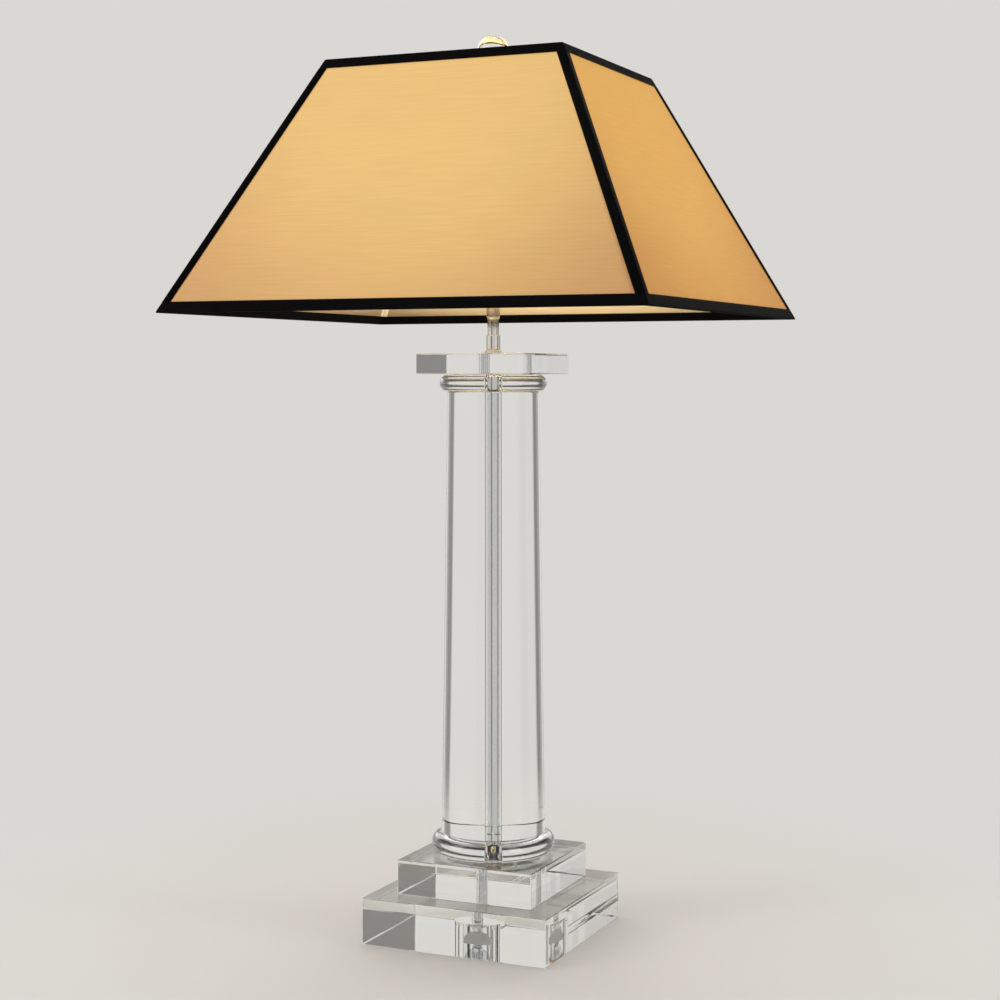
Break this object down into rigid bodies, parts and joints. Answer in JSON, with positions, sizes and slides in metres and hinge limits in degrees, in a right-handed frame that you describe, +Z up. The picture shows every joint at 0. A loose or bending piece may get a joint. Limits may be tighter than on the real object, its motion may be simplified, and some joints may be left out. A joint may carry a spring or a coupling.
{
  "type": "table lamp",
  "caption": "Clear glass column table lamp on a stepped square base, with a tapered rectangular fabric shade edged in dark tape and a glass ball finial.",
  "frame": {"origin": "centre of the underside of the base, on the surface the lamp stands on", "axes": "+Z up the column; -Y is the front, the wide face of the shade; +Y is the back, where the cord groove leaves the base"},
  "size_m": [0.45, 0.42, 0.82],
  "materials": {
    "clear_glass": "polished",
    "polished_nickel": "polished, slightly warm",
    "plated_steel": "zinc plated",
    "pad_rubber": "matt, natural gum rubber",
    "liner_board": "matt",
    "core_porcelain": "unglazed",
    "contact_brass": "satin",
    "key_plastic": "gloss",
    "frosted_glass": "frosted, lit warm white",
    "bulb_aluminium": "bright",
    "bulb_black_glass": "glossy",
    "frame_coating": "cream coating",
    "seam_fabric": "matt tape",
    "shade_fabric": "silky, lit from inside",
    "black_tape": "matt grosgrain tape"
  },
  "bodies": {
    "lamp_base": {"lower_plinth": "clear_glass", "upper_plinth": "clear_glass", "base_ring": "clear_glass", "column_shaft": "clear_glass", "capital_ring": "clear_glass", "abacus": "clear_glass", "center_pipe": "plated_steel", "pad_washer": "pad_rubber", "clamp_washer": "plated_steel", "lock_washer": "plated_steel", "base_nut": "plated_steel", "neck_flange": "polished_nickel", "neck_sleeve": "polished_nickel", "neck_tube": "polished_nickel", "neck_coupling": "polished_nickel", "harp_saddle": "polished_nickel", "harp": "polished_nickel", "harp_stud": "polished_nickel", "socket_cap": "polished_nickel", "socket_shell": "polished_nickel", "socket_liner": "liner_board", "socket_core": "core_porcelain", "socket_screw_shell": "contact_brass", "socket_contact": "contact_brass", "terminal_screws": "contact_brass"},
    "shade": {"shade_spider": "frame_coating", "shade_top_ring": "frame_coating", "shade_bottom_ring": "frame_coating", "corner_struts": "frame_coating", "seam_tapes": "seam_fabric", "panel_front": "shade_fabric", "panel_back": "shade_fabric", "panel_left": "shade_fabric", "panel_right": "shade_fabric", "corner_tape_front_left": "black_tape", "corner_tape_front_right": "black_tape", "corner_tape_back_left": "black_tape", "corner_tape_back_right": "black_tape", "top_trim": "black_tape", "bottom_trim": "black_tape"},
    "finial": {"finial_base": "polished_nickel", "finial_ball": "clear_glass"},
    "bulb": {"bulb_glass": "frosted_glass", "bulb_cap": "bulb_aluminium", "bulb_insulator": "bulb_black_glass", "bulb_tip": "contact_brass"},
    "switch_key": {"key_stem": "polished_nickel", "key_paddle": "key_plastic"},
    "left_sleeve": {"harp_sleeve_left": "polished_nickel"},
    "right_sleeve": {"harp_sleeve_right": "polished_nickel"}
  },
  "joints": [
    {"name": "shade_swivel", "type": "hinge", "parent": "lamp_base", "child": "shade", "pos_m": [0, 0, 0.7787], "axis": [0, 0, 1], "continuous": true},
    {"name": "finial_turn", "type": "hinge", "parent": "lamp_base", "child": "finial", "pos_m": [0, 0, 0.7861], "axis": [0, 0, 1], "continuous": true},
    {"name": "bulb_turn", "type": "hinge", "parent": "lamp_base", "child": "bulb", "pos_m": [0, 0, 0.6396], "axis": [0, 0, 1], "continuous": true},
    {"name": "key_turn", "type": "hinge", "parent": "lamp_base", "child": "switch_key", "pos_m": [0, 0.024, 0.6064], "axis": [0, 1, 0], "continuous": true},
    {"name": "left_sleeve_lift", "type": "slide", "parent": "lamp_base", "child": "left_sleeve", "axis": [0, 0, 1], "range_m": [0, 0.008]},
    {"name": "right_sleeve_lift", "type": "slide", "parent": "lamp_base", "child": "right_sleeve", "axis": [0, 0, 1], "range_m": [0, 0.008]}
  ]
}
